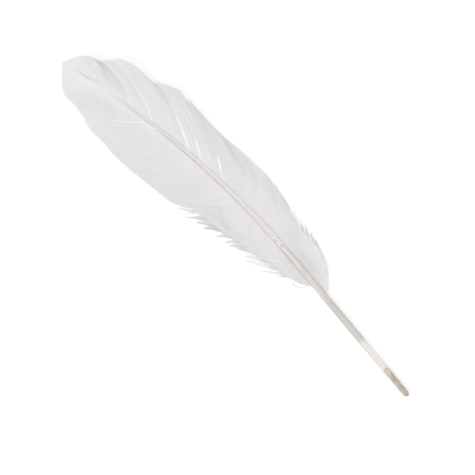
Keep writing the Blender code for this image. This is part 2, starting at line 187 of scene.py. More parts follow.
SLIT_SPREAD, LEAN_SPREAD, HOLE_SPREAD = 2.0, 5.0, 0.8  # how far along the shaft each one pulls barbs
LAP_SPREAD, LAP_HEIGHT = 2.5, 0.08
VANE_CLEAR = 0.3  # the lowest that a barb comes to the table
CLOSED_STEPS, RISING_STEPS = 80, 70  # steps along a barb, and those where it still runs outwards
HAIR_SHARE, LOCK_SHARE = 0.75, 0.95  # the share of hairs that are drawn, loose and in locks


def along(stations, at):
    """Smooth curve through (distance, value) stations, level past both ends."""
    xs, ys = np.array(stations, float).T
    at = np.clip(np.asarray(at, float), xs[0], xs[-1])
    i = np.clip(np.searchsorted(xs, at, side="right") - 1, 0, len(xs) - 2)
    before, after = np.maximum(i - 1, 0), np.minimum(i + 2, len(xs) - 1)
    run = xs[i + 1] - xs[i]
    start = (ys[i + 1] - ys[before]) / (xs[i + 1] - xs[before]) * run
    end = (ys[after] - ys[i]) / (xs[after] - xs[i]) * run
    t = (at - xs[i]) / run
    return (ys[i] * (1 + 2 * t) * (1 - t) ** 2 + ys[i + 1] * (3 - 2 * t) * t * t
            + start * t * (1 - t) ** 2 - end * t * t * (1 - t))


def smoothstep(low, high, at):
    """From 0 at low to 1 at high, level at both."""
    t = np.clip((np.asarray(at, float) - low) / (high - low), 0.0, 1.0)
    return t * t * (3 - 2 * t)


def hash01(i, j, seed):
    """The same share from 0 to 1 each time for a place on a lattice."""
    h = np.sin(i * 127.1 + j * 311.7 + seed * 74.7) * 43758.5453
    return h - np.floor(h)


def noise(u, v, seed):
    """Smooth value noise from -1 to 1 over two coordinates."""
    u, v = np.broadcast_arrays(np.asarray(u, float), np.asarray(v, float))
    i, j = np.floor(u), np.floor(v)
    a, b = u - i, v - j
    a, b = a * a * (3 - 2 * a), b * b * (3 - 2 * b)
    low = hash01(i, j, seed) * (1 - a) + hash01(i + 1, j, seed) * a
    high = hash01(i, j + 1, seed) * (1 - a) + hash01(i + 1, j + 1, seed) * a
    return 2 * (low * (1 - b) + high * b) - 1


def unit(vectors, axis=-1):
    return vectors / np.maximum(np.linalg.norm(vectors, axis=axis, keepdims=True), 1e-9)


def heading(s):
    """The shaft's direction in plan."""
    return HEADING + np.maximum(0.0, np.asarray(s, float) - STRAIGHT) / BEND_RADIUS


def plan(s):
    """The shaft's middle line from above, and its direction."""
    run = np.minimum(s, STRAIGHT)
    turn = heading(s)
    x = TIP[0] + run * math.cos(HEADING) + BEND_RADIUS * (np.sin(turn) - math.sin(HEADING))
    y = TIP[1] + run * math.sin(HEADING) + BEND_RADIUS * (math.cos(HEADING) - np.cos(turn))
    return x, y, turn


def lift(s):
    """How far the feather's far half rises off the table."""
    return LIFT_HEIGHT * (np.maximum(0.0, np.asarray(s, float) - LIFT_START) / LIFT_RUN) ** 2


def beside(s, off, z):
    """Points at distances along the shaft, offset square to it in plan, at heights z."""
    x, y, turn = plan(s)
    return np.stack(np.broadcast_arrays(x - off * np.sin(turn), y + off * np.cos(turn), z), -1)


def half_width(s):
    """Half the shaft's thickness as seen from above."""
    s = np.asarray(s, float)
    return np.where(s < BARREL_END, BARREL_RADIUS, along(RACHIS_HALF, s))


def shaft_height(s):
    """Height of the rachis's middle: the barrel's axis at first, then the lifted line."""
    blend = np.clip((np.asarray(s, float) - BARREL_END) / RACHIS_JOIN, 0.0, 1.0)
    return AXIS_HEIGHT * (1 - blend) + (lift(s) + RACHIS_STAND * along(RACHIS_HALF, s)) * blend


# ---------------------------------------------------------------- mesh helpers
def new_mesh(name, points, faces, values=None):
    """Object with points in mm, faces, smooth shading, and one float attribute per entry."""
    mesh = bpy.data.meshes.new(name)
    mesh.from_pydata((np.reshape(points, (-1, 3)) * MM).tolist(), [], faces)
    for key, numbers in (values or {}).items():
        layer = mesh.attributes.new(key, "FLOAT", "POINT")
        layer.data.foreach_set("value", np.asarray(numbers, np.float32).ravel())
    mesh.polygons.foreach_set("use_smooth", [True] * len(mesh.polygons))
    made = bpy.data.objects.new(name, mesh)
    bpy.context.scene.collection.objects.link(made)
    return made


def strand_faces(count, rings, sides, start=0):
    """Quads round each strand and a face at both of its ends."""
    index = start + np.arange(count * rings * sides).reshape(count, rings, sides)
    near, far = index[:, :-1], index[:, 1:]
    quads = np.stack([near, np.roll(near, -1, 2), np.roll(far, -1, 2), far], -1).reshape(-1, 4)
    ends = np.concatenate([index[:, 0, ::-1], index[:, -1]])
    return quads.tolist() + ends.tolist()


def finish_piece(piece, look, body, cad):
    """Gives a piece its material, the body it rides and the CAD node it replaces."""
    piece.data.materials.append(look)
    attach(piece, body)
    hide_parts(cad)


# ---------------------------------------------------------------- material helpers
def feed(tree, target, values):
    """Sets a node's inputs: an output is linked, a constant is set on the input itself."""
    for key, value in values.items():
        if isinstance(value, bpy.types.NodeSocket):
            tree.links.new(value, target.inputs[key])
        else:
            target.inputs[key].default_value = value


def new_material(name, colour, roughness):
    """Material with its node tree and its Principled shader."""
    made = bpy.data.materials.new(name)
    made.use_nodes = True
    tree = made.node_tree
    shader = tree.nodes["Principled BSDF"]
    feed(tree, shader, {"Base Color": (*colour, 1.0), "Roughness": roughness})
    return made, tree, shader


def node(tree, kind, inputs, **settings):
    """New node with its settings and inputs. The helpers below return a node's output."""
    made = tree.nodes.new(kind)
    for key, value in settings.items():
        setattr(made, key, value)
    feed(tree, made, inputs)
    return made


def attribute(tree, name):
    return node(tree, "ShaderNodeAttribute", {}, attribute_name=name).outputs["Fac"]


def own_place(tree):
    return node(tree, "ShaderNodeTexCoord", {}).outputs["Object"]


def grain(tree, place, scale, detail, roughness=0.5):
    inputs = {"Vector": place, "Scale": scale, "Detail": detail, "Roughness": roughness}
    return node(tree, "ShaderNodeTexNoise", inputs).outputs["Fac"]


def product(tree, first, second):
    return node(tree, "ShaderNodeMath", {0: first, 1: second}, operation="MULTIPLY").outputs[0]


def scaled_sum(tree, first, scale, second, clamp=False):
    return node(tree, "ShaderNodeMath", {0: first, 1: scale, 2: second}, operation="MULTIPLY_ADD",
                use_clamp=clamp).outputs[0]


def mapped(tree, value, from_min, from_max, to_min=0.0, to_max=1.0):
    inputs = {"Value": value, "From Min": from_min, "From Max": from_max, "To Min": to_min,
              "To Max": to_max}
    return node(tree, "ShaderNodeMapRange", inputs).outputs["Result"]


def mixed(tree, factor, first, second, blend="MIX"):
    return node(tree, "ShaderNodeMix", {"Factor": factor, 6: first, 7: second}, data_type="RGBA",
                blend_type=blend).outputs[2]


def ramp(tree, value, *stops):
    """Colours by value, from (place, colour) stops."""
    made = node(tree, "ShaderNodeValToRGB", {"Fac": value})
    while len(made.color_ramp.elements) < len(stops):
        made.color_ramp.elements.new(0.5)
    for element, (at, colour) in zip(made.color_ramp.elements, stops):
        element.position = at
        element.color = (*colour, 1.0)
    return made.outputs["Color"]


def long_streaks(tree, run, girth, run_scale, girth_scale, detail, roughness=0.5):
    """Grain drawn out along the shaft."""
    place = node(tree, "ShaderNodeCombineXYZ", {"X": product(tree, run, run_scale),
                                                "Y": product(tree, girth, girth_scale)})
    return grain(tree, place.outputs[0], 1.0, detail, roughness)


def bumped(tree, height, strength, distance):
    inputs = {"Height": height, "Strength": strength, "Distance": distance}
    return node(tree, "ShaderNodeBump", inputs).outputs["Normal"]


# ---------------------------------------------------------------- barbs
def barb_material(name, tint):
    """Matt white barbs, lighter and darker by their tone, which carries painted shade and painted light,
    with a fine grain.
    """
    made, tree, shader = new_material(name, tint, 0.62)
    speck = grain(tree, own_place(tree), 900.0, 3.0)
    # the tone holds painted shade and painted light as well as the barbs' own uneven white
    shade = scaled_sum(tree, speck, 0.08, attribute(tree, "tone"))
    feed(tree, shader, {
        "Base Color": ramp(tree, shade, (0.0, (0.0, 0.0, 0.0)), (1.0, tint)),
        "Roughness": mapped(tree, speck, 0.0, 1.0, 0.55, 0.75),
        "Sheen Weight": 0.1, "Sheen Roughness": 0.5, "Specular IOR Level": 0.25,
        "Subsurface Weight": 0.4, "Subsurface Radius": (1.0, 1.0, 1.0), "Subsurface Scale": 0.0006,
    })
    return made


def opening(off, near, far):
    """From 0 at both ends of a slit to 1 at its middle."""
    t = np.clip((off - near) / (far - near), 0.0, 1.0)
    return (4 * t * (1 - t)) ** 0.6


def slit_shift(side, own, root, off):
    """How far a barb (own) is pushed along the shaft: apart at slits and holes, lapped past them."""
    shift = np.zeros_like(off)
    for at, near, far, gap, lean, lap in side["slits"]:
        away = np.abs(root - at)
        apart = gap / 2 * opening(off, near, far) - lap / 2 * smoothstep(far + 1, far + 8, off)
        shift += np.where(own > at, 1.0, -1.0) * np.exp(-away / SLIT_SPREAD) * apart
        shift += lean * smoothstep(near, far + 2, off) * np.exp(-away / LEAN_SPREAD)
    for at, near, far, gap in side["holes"]:
        away = np.abs(root - at)
        pull = np.where(own > at, 1.0, -1.0) * np.exp(-away / HOLE_SPREAD)
        shift += pull * gap / 2 * opening(off, near, far)
    return shift


def lap_lift(side, own, root, off):
    """Past a slit the lower web's edge lies over the next web's."""
    rise = np.zeros_like(off)
    for at, _near, far, _gap, _lean, lap in side["slits"]:
        away = np.abs(root - at)
        over = np.where(own > at, -1.0, 1.0) * np.exp(-away / LAP_SPREAD)
        rise += over * LAP_HEIGHT * lap * smoothstep(far, far + 6, off)
    return rise


def painted_fold_shade(side, root, off):
    """Change of tone where webs overlap, crease or thin out: painted shade where it darkens, painted
    light where it lightens.
    """
    tone = np.zeros_like(off)
    for root_near, near, root_far, far, low, high, change in side["folds_painted_shade"]:
        t = (off - near) / (far - near)
        away = root - (root_near + (root_far - root_near) * t)
        soft = 0.25 * (far - near)
        within = smoothstep(near - soft, near + soft, off) * smoothstep(far + soft, far - soft, off)
        tone += change * within * np.exp(-(away / np.where(away < 0, low, high)) ** 2)
    return tone


def barb_path(side, root, part):
    """Distance along the shaft and offset from it, at shares (part) of each barb's length."""
    reach = along(side["reach"], root)
    bend = along(side["curve"], root)
    inner = half_width(root) * (ROOT_INSET - 0.5 * smoothstep(*THREAD, root))
    outer = np.maximum(along(side["width"], root + reach), inner * 0.3)
    off = inner + (outer - inner) * (bend * part - (bend - 1) * part * part)
    fade = np.clip((root - TIP_START) / TIP_RUN, 0.0, 1.0)
    closed = inner * (1 - part) + outer * part - TIP_TUCK * part
    return root + reach * part, off * (1 - fade) + closed * fade


def root_rise(root):
    """Extra height of the barbs' roots, in half widths: more on the round barrel."""
    return ROOT_RISE + BARREL_RISE * smoothstep(BARREL_END + 4, BARREL_END - 6, root)


def web_height(root, away):
    """Height of the unfolded vane over the table line, by root and by distance from the shaft."""
    rise = half_width(root) * (WEB_STAND + root_rise(root) * np.exp(-away / ROOT_FADE))
    return rise + CAMBER_DIP * ((away / CAMBER_LOW - 1) ** 2 - 1)


def barb_place(side, own, root, part, across):
    """Where a line at a root lies, as part of the barb whose own root is given."""
    s, off = barb_path(side, root, part)
    inner, seed = off[:, :1], side["seed"]
    # painted shade and painted light at the folds, which also lower or raise the surface
    folds_painted_shade = painted_fold_shade(side, root, off)
    sway = SWAY * noise(root / 3.1, off / 9.0, seed + 1) * smoothstep(2, 10, off)
    ripple = RIPPLE * noise(root / 2.3, off / 11.0, seed + 2) * smoothstep(1, 6, off)
    s = s + slit_shift(side, own, root, off) + sway
    twist = (np.maximum(0.0, off - CAMBER_LOW) / TWIST_SPAN) ** 1.5
    z = lift(s) + web_height(root, off - inner)
    z = z + twist * side["twist"] * (2 * across - 1) + lap_lift(side, own, root, off)
    return s, off, z + FOLD_DEPTH * folds_painted_shade + ripple, folds_painted_shade


def barb_roots(splits):
    """Where each barb starts: evenly spaced, closer together near the tip, a little uneven."""
    roots = np.concatenate([np.arange(splits[0] + 0.3, FINE_START, BARB_PITCH),
                            np.arange(FINE_START + 0.2, splits[-1] - 0.1, BARB_PITCH / 2)])
    return roots + RANDOM.uniform(-0.05, 0.05, len(roots))


def barb_field(side):
    """Every barb of one side: its web, its middle line, the lines where it meets its neighbours,
    its tone, and how far along it runs free."""
    splits = np.array(side["splits"], float)
    roots = barb_roots(splits)
    web = np.clip(np.searchsorted(splits, roots) - 1, 0, len(splits) - 2)
    across = ((roots - splits[web]) / (splits[web + 1] - splits[web]))[:, None]
    middle = (roots[1:] + roots[:-1]) / 2
    before = np.maximum(np.concatenate([[splits[0]], middle]), splits[web])[:, None]
    after = np.minimum(np.concatenate([middle, [splits[-1]]]), splits[web + 1])[:, None]
    root, seed = roots[:, None], side["seed"]
    clump = noise(roots / 1.7, 0.5, seed) * 0.6 + RANDOM.uniform(-0.4, 0.4, len(roots))
    closed = closed_share(side, roots) * (1 + 0.008 * clump)
    hair, move = free_hairs(side, roots, closed)
    frayed = np.interp(roots, *np.transpose(side["loose"])) > 0
    closed = np.where(hair, closed, closed * (1 - 0.04 * RANDOM.random(len(roots)) * frayed))
    even = np.linspace(0.0, 1.0, BARB_RINGS)
    body = np.minimum(np.arange(BARB_RINGS) / (BODY_RINGS - 1.0), 1.0)
    part = np.where(hair[:, None], body, even) * closed[:, None]
    lines = []
    for line in (root, before, after):
        s, off, z, folds_painted_shade = barb_place(side, root, line, part, across)
        z = np.maximum(z + move[2], VANE_CLEAR)
        lines.append(beside(s + move[0], side["side"] * (off + move[1]), z))
        if line is root:
            # tone: the barbs' own uneven white, plus painted shade and painted light at the folds
            tone = BASE_TONE + GRAIN_TONE * clump[:, None] + folds_painted_shade
            tone = tone + GRAIN_TONE * noise(root / 5.0, off / 8.0, seed + 8)
            # painted light near the roots, fading outwards
            tone = tone + ROOT_PAINTED_LIGHT * np.exp(-(off - off[:, :1]) / ROOT_PAINTED_LIGHT_RUN)
    free = free_share() * hair[:, None]
    return {"web": web, "lines": lines, "tone": tone, "hair": hair, "free": free}


def free_share():
    """How far along its free end each ring of a hair lies: 0 while it is inside the vane."""
    return np.maximum(np.arange(BARB_RINGS) - BODY_RINGS + 1.0, 0) / (BARB_RINGS - BODY_RINGS)


def closed_share(side, roots):
    """How much of each barb's path lies inside the closed vane."""
    steps = np.linspace(0.0, 1.0, CLOSED_STEPS)
    stop = np.interp(roots, *np.transpose(side["ends"]))
    _s, off = barb_path(side, roots[:, None], steps[None, :])
    rising = slice(RISING_STEPS)
    return np.array([np.interp(limit, path[rising], steps[rising]) if limit < path[RISING_STEPS] else 1.0
                     for limit, path in zip(stop, off)])


def free_hairs(side, roots, closed):
    """Which barbs run on past the closed vane, and how far their rings move for it: along the
    shaft, away from it, and up."""
    count = len(roots)
    chance = np.interp(roots, *np.transpose(side["loose"]))
    hair = RANDOM.random(count) < chance * HAIR_SHARE
    s, off = barb_path(side, roots[:, None], np.stack([closed - 0.04, closed], 1))
    run = unit(np.stack([s[:, 1] - s[:, 0], off[:, 1] - off[:, 0]]), axis=0)
    left = np.clip(1 - closed, 0.02, 1)
    length = along(side["reach"], roots) * left * RANDOM.uniform(0.4, 1.0, count)
    swing = RANDOM.normal(0.3, 0.15, count)
    tip = run * length + np.stack([-0.1 * length, swing * length])
    for low, high, tip_s, tip_off in side["locks"]:
        inside = (roots > low) & (roots < high)
        hair = hair | (inside & (RANDOM.random(count) < LOCK_SHARE))
        share = RANDOM.uniform(0.7, 1.08, count)
        to_s = (tip_s - s[:, 1]) * share + RANDOM.normal(0, 0.35, count)
        to_off = (tip_off - off[:, 1]) * share + RANDOM.normal(0, 0.35, count)
        tip = np.where(inside, np.stack([to_s, to_off]), tip)
    size = np.linalg.norm(tip, axis=0)
    u = free_share()[None, :] * hair[:, None]
    bow = 2 * u * (1 - u) * 0.5 * size[:, None]
    rise = (0.08 + 0.1 * RANDOM.random(count)) * size
    return hair, (bow * run[0][:, None] + u**2 * tip[0][:, None],
                  bow * run[1][:, None] + u**2 * tip[1][:, None], u * rise[:, None])


def web_rings(side, field, chosen):
    """Cross sections of one web's barbs: two thin blades on a raised ridge, closed below."""
    centre = field["lines"][0][chosen]
    free = field["free"][chosen][..., None]
    share = np.linspace(0, 1, centre.shape[1])
    taper = np.sqrt(1 - smoothstep(BLADE_TAPER, 1.0, share) * 0.97)[None, :, None]
    wide = [line[chosen] - centre for line in field["lines"][1:]]
    size = [np.maximum(np.linalg.norm(w, axis=2, keepdims=True), 1e-6) for w in wide]
    slim = smoothstep(0.0, 0.25, free)
    hair_half = HAIR_HALF * (1 - 0.6 * free)
    reach = [(np.minimum(r * 1.04 + 0.01, BLADE_MOST) * (1 - slim) + hair_half * slim) * taper
             for r in size]
    square = unit(np.cross(UPWARD, np.gradient(centre, axis=1)))
    ways = []
    for w, r in zip(wide, size):
        hand = np.sign((w * square).sum(2, keepdims=True))[:, BODY_RINGS - 2:BODY_RINGS - 1]
        ways.append(unit(w / r * (1 - slim) + square * hand * slim))
    blades = [centre + way * length for way, length in zip(ways, reach)]
    bases = [centre + way * np.minimum(RIDGE_HALF, length * 0.6) for way, length in zip(ways, reach)]
    thin = taper * (1 - 0.6 * slim)
    left, right = (0, 1) if side["side"] > 0 else (1, 0)
    rings = [blades[left], bases[left] + UPWARD * BLADE_LIFT * thin,
             centre + UPWARD * RIDGE_HEIGHT * thin, bases[right] + UPWARD * BLADE_LIFT * thin,
             blades[right], centre - UPWARD * KEEL_DEPTH * thin]
    return np.stack(rings, 2)


def build_web(side, field, web, look):
    """One web as one piece: its barbs, the down on its free hairs and its stray hairs."""
    chosen = np.flatnonzero(field["web"] == web)
    barbs = web_rings(side, field, chosen)
    strands = [(barbs, field["tone"][chosen][..., None])]
    down = barbules(field, chosen)
    if down is not None:
        strands.append((down, BASE_TONE))
    strands += [(stray_rings(side, radius, places), tone)
                for number, radius, tone, *places in side["strays"] if number == web + 1]
    faces, points, tones, start = [], [], [], 0
    for rings, tone in strands:
        faces += strand_faces(*rings.shape[:3], start=start)
        points.append(rings.reshape(-1, 3))
        tones.append(np.broadcast_to(tone, rings.shape[:3]).ravel())
        start += len(points[-1])
    piece = new_mesh(f"{side['name']}_{web + 1:02d}", np.concatenate(points), faces,
                     {"tone": np.concatenate(tones)})
    cad = f"{side['node']}_{web + 1:02d}"
    finish_piece(piece, look, cad, cad)


def build_vane(side, look):
    """All the webs of one side."""
    field = barb_field(side)
    for web in range(len(side["splits"]) - 1):
        build_web(side, field, web, look)


def hair_rings(path, radius):
    """Three sided fibres, thinning to the tip, round paths of shape (count, rings, 3)."""
    tangent = unit(np.gradient(path, axis=1))
    side = unit(np.cross(UPWARD, tangent))
    up = np.cross(tangent, side)
    thin = radius * np.linspace(1.0, 0.25, path.shape[1])[None, :, None]
    turns = [math.tau * k / 3 for k in range(3)]
    return np.stack([path + (side * math.cos(a) + up * math.sin(a)) * thin for a in turns], 2)


def barbules(field, chosen):
    """Downy barbules along the free hairs."""
    paths = []
    step = np.linspace(0, 1, 4)[None, :, None]
    for i in chosen:
        if not field["hair"][i]:
            continue
        ring = RANDOM.uniform(BODY_RINGS - 3, BARB_RINGS - 1.2, DOWN_COUNT)
        low = np.floor(ring).astype(int)
        mix = (ring - low)[:, None]
        line = field["lines"][0][i]
        upper = line[np.minimum(low + 1, BARB_RINGS - 1)]
        start = line[low] * (1 - mix) + upper * mix
        run = unit(upper - line[low])
        square = np.cross(UPWARD, run)
        each = (DOWN_COUNT, 1)
        lean = RANDOM.choice([-1.0, 1.0], each) * RANDOM.uniform(0.3, 0.9, each)
        way = unit(run + square * lean + UPWARD * RANDOM.normal(0.05, 0.2, each))
        size = RANDOM.uniform(0.3, 1.0, each)[:, None]
        path = start[:, None] + way[:, None] * size * step + run[:, None] * (size * 0.35) * step**2
        path[..., 2] = np.maximum(path[..., 2], DOWN_CLEAR)
        paths.append(path)
    return hair_rings(np.concatenate(paths), DOWN_RADIUS) if paths else None


def stray_rings(side, radius, places):
    """One loose hair lying on the vane, through places (distance, offset)."""
    t = np.linspace(0, len(places) - 1, STRAY_RINGS)
    s = along([(k, p[0]) for k, p in enumerate(places)], t)
    off = along([(k, p[1]) for k, p in enumerate(places)], t)
    away = np.maximum(off - ROOT_INSET * half_width(s), 0)
    top = np.where(off < half_width(s), 2.02 * half_width(s), web_height(s, away))
    arch = 0.6 * np.sin(np.linspace(0, math.pi, STRAY_RINGS)) ** 0.5
    z = lift(s) + top + 0.25 + arch
    return hair_rings(beside(s, side["side"] * off, z)[None], radius)


# ---------------------------------------------------------------- shaft
BARREL_SIDES, BARREL_WALL = 48, 0.4
NOSE_RUN, NOSE_RADIUS, NOSE_HOLE, BORE_LEAST = 3.0, 2.0, 0.45, 0.42
BARREL_OUTLINE = ((3, 2.0), (12, 2.15), (25, 2.25), (85, 2.22), (105, 2.1), (118, 1.85))
TIP_PULP = ((1.1, 0.4), (1.8, 0.9), (3.0, 1.25), (5.5, 1.4), (8.0, 1.2), (10.5, 1.45), (13.5, 1.25),
            (16.5, 1.5), (19.5, 1.4), (21.5, 0.8))
TIP_PULP_SIDES, SMALL_SIDES = 32, 28
UMBILICUS_START, UMBILICUS_END, UMBILICUS_RADIUS = 110.6, 117.2, 1.4
CAP_COUNT, CAP_START, CAP_PITCH = 8, 44.5, 8.2
CAP_RADIUS, CAP_WALL, CAP_RUN, CAP_DOME = 1.55, 0.22, 5.8, 2.0
RACHIS_RINGS, RACHIS_SIDES = 170, 36
RACHIS_THIN = (277.5, 268.0)  # between these its end rounds off to nothing
GROOVE_DEPTH, GROOVE_HALF = 0.16, 0.3  # in half widths
GROOVE_START = (119, 128)  # the groove deepens from nothing to all of it
CORE_RINGS, CORE_ACROSS, CORE_UP = slice(12, -30), 0.6, 0.5  # the foam's part of the rachis


def turned_rings(profile, sides, wobble):
    """Rings of a solid of revolution about the barrel's axis, from (distance, radius) points."""
    s, r = (np.array(values, float)[:, None] for values in zip(*profile))
    turns = np.linspace(0, math.tau, sides, endpoint=False)[None, :]
    radius = r * np.ones(sides)[None, :] + wobble(s, turns) * (r > 0.02)
    across, up = radius * np.cos(turns), radius * np.sin(turns)
    return beside(np.repeat(s, sides, 1), across, AXIS_HEIGHT + up)


def loop_faces(rings, sides, closed):
    """Quads over rings of points; the last ring joins the first, or both ends get a face."""
    index = np.arange(rings * sides).reshape(rings, sides)
    near, far = (index, np.roll(index, -1, 0)) if closed else (index[:-1], index[1:])
    quads = np.stack([near, far, np.roll(far, -1, 1), np.roll(near, -1, 1)], -1).reshape(-1, 4)
    faces = quads[:, ::-1].tolist()
    if not closed:
        faces += [index[0].tolist()[::-1], index[-1].tolist()]
    return faces


def outer_radius(s):
    """The barrel's outside: a rounded nose with a hole in it, then nearly a cylinder."""
    t = np.clip(s, 0, NOSE_RUN) / NOSE_RUN
    nose = NOSE_RADIUS * np.sqrt(np.clip(1 - (1 - t) ** 2, 0.0, 1.0))
    return np.where(s < NOSE_RUN, np.maximum(nose, NOSE_HOLE), along(BARREL_OUTLINE, s))


def barrel_wobble(s, turn):
    """Shallow lengthwise flutes and a slow unevenness of the horn tube."""
    return 0.012 * np.sin(9 * turn + 0.05 * s) + 0.02 * np.sin(s / 7.0 + 2 * np.cos(turn))


def horn_material():
    """Clear horn: see-through and empty low down, cloudier and streaked with tan higher up, with painted
    light and shade across it and a painted dark rim on its sides.
    """
    made, tree, shader = new_material("horn_barrel", (0.86, 0.82, 0.78), 0.16)
    run, edge, girth = (attribute(tree, name) for name in ("run", "edge", "girth"))
    streak = long_streaks(tree, run, girth, run_scale=14.0, girth_scale=9.0, detail=5.0,
                          roughness=0.65)
    horn = ramp(tree, run, (0.0, (0.50, 0.46, 0.40)), (0.03, (0.78, 0.73, 0.65)),
                (0.17, (0.84, 0.79, 0.72)), (0.20, (0.92, 0.87, 0.84)), (0.35, (0.91, 0.87, 0.83)),
                (0.38, (0.74, 0.70, 0.66)), (0.60, (0.71, 0.67, 0.62)), (0.72, (0.90, 0.865, 0.825)),
                (0.86, (0.93, 0.90, 0.87)), (1.0, (0.97, 0.94, 0.89)))
    spots = product(tree, mapped(tree, streak, 0.46, 0.66), mapped(tree, run, 0.68, 0.9, 0.0, 0.6))
    stained = mixed(tree, spots, horn, (0.56, 0.47, 0.34, 1))
    bare = mapped(tree, run, 0.55, 0.72, 1.0, 0.0)
    # painted light and shade across the tube: lighter on the narrow vane's side, as light falling
    # through the clear horn makes it
    painted_side_light_by_vane = ramp(tree, girth, (0.0, (0.93,) * 3), (0.25, (0.88,) * 3), (0.5, (0.8,) * 3),
                      (0.66, (0.86,) * 3), (0.8, (0.98,) * 3))
    painted_side_light_bare = ramp(tree, girth, (0.1, (0.93, 0.92, 0.91)), (0.5, (0.97,) * 3), (0.9, (1.0,) * 3))
    shaded = mixed(tree, 1.0, stained, mixed(tree, bare, painted_side_light_by_vane, painted_side_light_bare), "MULTIPLY")
    # painted shade: a dark rim along the tube's two sides on its clear part, standing in for the dark
    # outline of a clear tube
    colour = mixed(tree, product(tree, edge, bare), shaded, (0.66, 0.64, 0.66, 1), "MULTIPLY")
    clear = ramp(tree, run, (0.0, (0.5,) * 3), (0.03, (0.26,) * 3), (0.18, (0.22,) * 3),
                 (0.20, (0.26,) * 3), (0.36, (0.28,) * 3), (0.385, (0.78,) * 3), (0.8, (0.86,) * 3))
    feed(tree, shader, {
        "Base Color": colour, "Alpha": scaled_sum(tree, edge, 0.4, clear, clamp=True),
        "Roughness": mapped(tree, streak, 0.0, 1.0, 0.1, 0.32), "IOR": 1.45,
        "Coat Weight": 0.2, "Coat Roughness": 0.12,
    })
    return made


def build_barrel():
    """The horn tube, open at its nose hole and at the top."""
    nose = NOSE_RUN * (1 - np.cos(np.linspace(0.24, math.pi / 2, 12)))
    stations = np.concatenate([nose, np.linspace(4, BARREL_END, 90)])
    outside = [(s, float(outer_radius(s))) for s in stations]
    inside = [(max(s, NOSE_HOLE), max(BORE_LEAST, r - BARREL_WALL)) for s, r in outside]
    profile = outside + inside[::-1]
    turns = np.linspace(0, math.tau, BARREL_SIDES, endpoint=False)
    values = {"run": np.repeat([s / BARREL_END for s, _r in profile], BARREL_SIDES),
              # edge: 1 at the tube's two sides, where the colour gets a painted dark rim and the alpha
              # rises
              "edge": np.tile(np.abs(np.cos(turns)) ** 14, len(profile)),
              "girth": np.tile(1 - np.abs(turns - math.pi) / math.pi, len(profile))}
    piece = new_mesh("barrel_horn", turned_rings(profile, BARREL_SIDES, barrel_wobble),
                     loop_faces(len(profile), BARREL_SIDES, True), values)
    finish_piece(piece, horn_material(), "shaft", "calamus_barrel")


def pulp_material(name, light, dark, scale, transmission=0.0):
    """Dried pulp: mottled between two colours, with a rough, pitted surface."""
    made, tree, shader = new_material(name, light, 0.55)
    blotch = grain(tree, own_place(tree), scale, 6.0, 0.65)
    between = tuple((a + b) / 2 for a, b in zip(light, dark))
    feed(tree, shader, {
        "Base Color": ramp(tree, blotch, (0.36, dark), (0.5, between), (0.62, light)),
        "Normal": bumped(tree, blotch, 0.5, 0.0001), "Transmission Weight": transmission,
    })
    return made


def lumpy(s, turn):
    """The uneven surface of dried pulp."""
    return 0.16 * noise(s / 1.6, turn * 1.1, 21) + 0.08 * noise(s / 0.6, turn * 2.2, 22)


def build_tip_pulp():
    """The brown plug of dried pulp in the barrel's end."""
    look = pulp_material("tip_pulp", (0.74, 0.67, 0.53), (0.25, 0.19, 0.11), 230.0)
    s = np.linspace(TIP_PULP[0][0], TIP_PULP[-1][0], 60)
    rings = turned_rings(list(zip(s, along(TIP_PULP, s))), TIP_PULP_SIDES, lumpy)
    piece = new_mesh("pulp_in_tip", rings, loop_faces(len(s), TIP_PULP_SIDES, False))
    finish_piece(piece, look, "shaft", "tip_pulp_plug")


def build_umbilicus():
    """The amber button that closes the barrel's top."""
    look = pulp_material("umbilicus_amber", (0.66, 0.52, 0.3), (0.42, 0.28, 0.12), 500.0)
    s = np.linspace(UMBILICUS_START, UMBILICUS_END, 24)
    size = UMBILICUS_RADIUS * np.sin(np.linspace(0.05, math.pi - 0.05, 24)) ** 0.6
    rings = turned_rings(list(zip(s, size)), SMALL_SIDES, lumpy)
    piece = new_mesh("umbilicus_button", rings, loop_faces(len(s), SMALL_SIDES, False))
    finish_piece(piece, look, "shaft", "umbilicus_plug")


def build_cap(index):
    """One dried membrane cup, dome towards the vane, creased round its wall."""
    start = CAP_START + CAP_PITCH * (index - 1)
    radius = CAP_RADIUS - 0.012 * index
    outside = [(start + w, radius * (1 - 0.03 * w / 6)) for w in np.linspace(0, CAP_RUN, 14)]
    outside += [(start + CAP_RUN + CAP_DOME * math.sin(a), radius * 0.97 * math.cos(a))
                for a in np.linspace(0.1, math.pi / 2 - 0.08, 9)]
    inside = [(s - (0.25 if s > start + 5 else 0.0), max(r - CAP_WALL, 0.02)) for s, r in outside]
    profile = outside + inside[::-1]

    def crease(s, turn):
        return 0.03 * noise(s / 1.1, turn * 1.5, 30 + index) + 0.02 * np.sin(3.0 * s)

    shade = 1 - 0.03 * index
    light = (0.80 * shade, 0.74 * shade, 0.66 * shade)
    dark = (0.62 * shade, 0.53 * shade, 0.42 * shade)
    look = pulp_material(f"pulp_skin_{index}", light, dark, 300.0, 0.25)
    piece = new_mesh(f"pulp_cup_{index}", turned_rings(profile, SMALL_SIDES, crease),
                     loop_faces(len(profile), SMALL_SIDES, True))
    finish_piece(piece, look, "shaft", f"pulp_cap_{index}")


